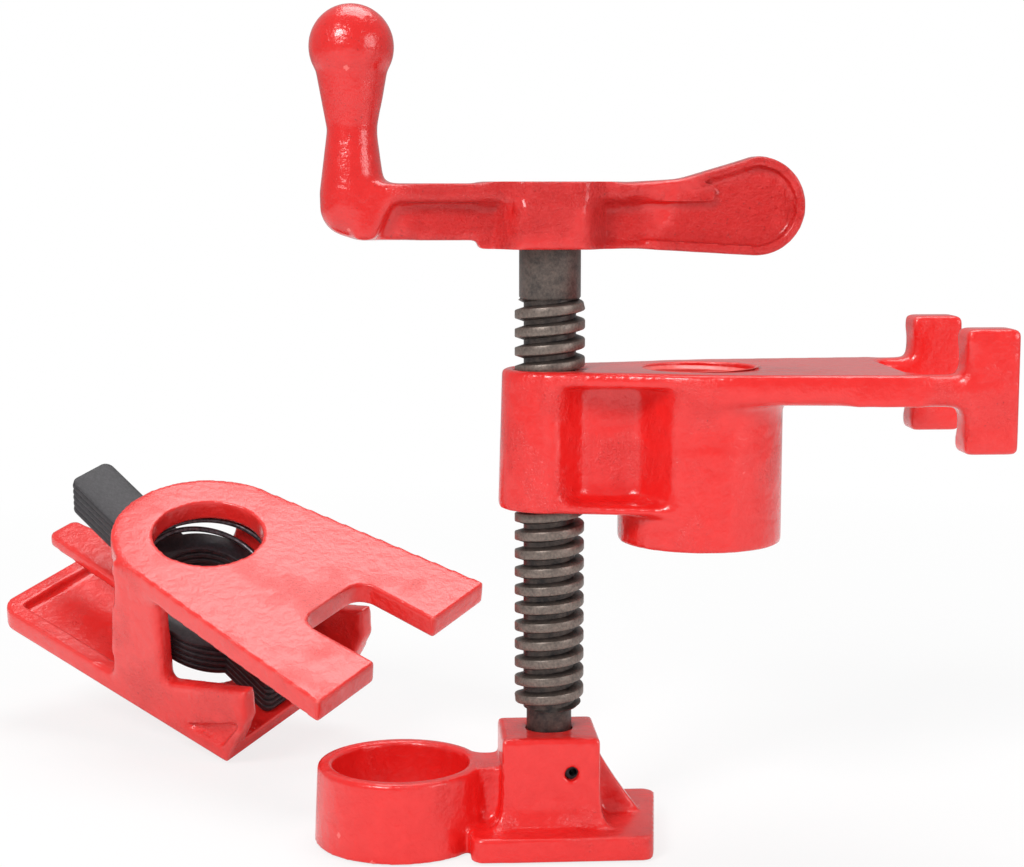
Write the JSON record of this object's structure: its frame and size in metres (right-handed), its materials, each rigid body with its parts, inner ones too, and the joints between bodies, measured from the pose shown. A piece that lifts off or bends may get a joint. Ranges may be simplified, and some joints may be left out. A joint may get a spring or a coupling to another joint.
{
  "type": "pipe clamp",
  "caption": "Woodworking pipe clamp set: head casting with screw, crank handle and swivel jaw, and a loose tail stop with spring-loaded clutch plates.",
  "frame": {"origin": "screw axis at the bench face of the moving jaw", "axes": "+Z along the screw, from the jaw to the crank; +X from the screw towards the head's feet"},
  "size_m": [0.246, 0.1724, 0.1907],
  "materials": {
    "red_enamel": "gloss",
    "black_screw": "black oxide, oiled",
    "black_plate": "satin black",
    "pin_steel": "black spring steel",
    "spring_steel": "dark spring wire"
  },
  "bodies": {
    "base": {"moving_jaw": "red_enamel", "retaining_pin": "pin_steel", "tail_casting": "red_enamel", "clutch_spring": "spring_steel"},
    "crank_screw": {"screw": "black_screw", "crank_handle": "red_enamel"},
    "head": {"head_casting": "red_enamel"},
    "clutch": {"clutch_plate_1": "black_plate", "clutch_plate_2": "black_plate", "clutch_plate_3": "black_plate", "clutch_plate_4": "black_plate", "clutch_plate_5": "black_plate"}
  },
  "joints": [
    {"name": "crank_turn", "type": "hinge", "parent": "base", "child": "crank_screw", "pos_m": [0, 0, 0], "axis": [0, 0, 1], "range_deg": [-1360, 3910]},
    {"name": "head_travel", "type": "slide", "parent": "base", "child": "head", "axis": [0, 0, 1], "range_m": [-0.04599, 0.016]},
    {"name": "clutch_squeeze", "type": "hinge", "parent": "base", "child": "clutch", "pos_m": [-0.09781, 0.09573, 0.04313], "axis": [-0.6425, -0.7073, -0.2947], "range_deg": [0, 17], "deforming": ["clutch_spring"]}
  ],
  "couplings": [
    {"joint": "head_travel", "follows": "crank_turn", "m_per_rad": -0.00067376}
  ]
}
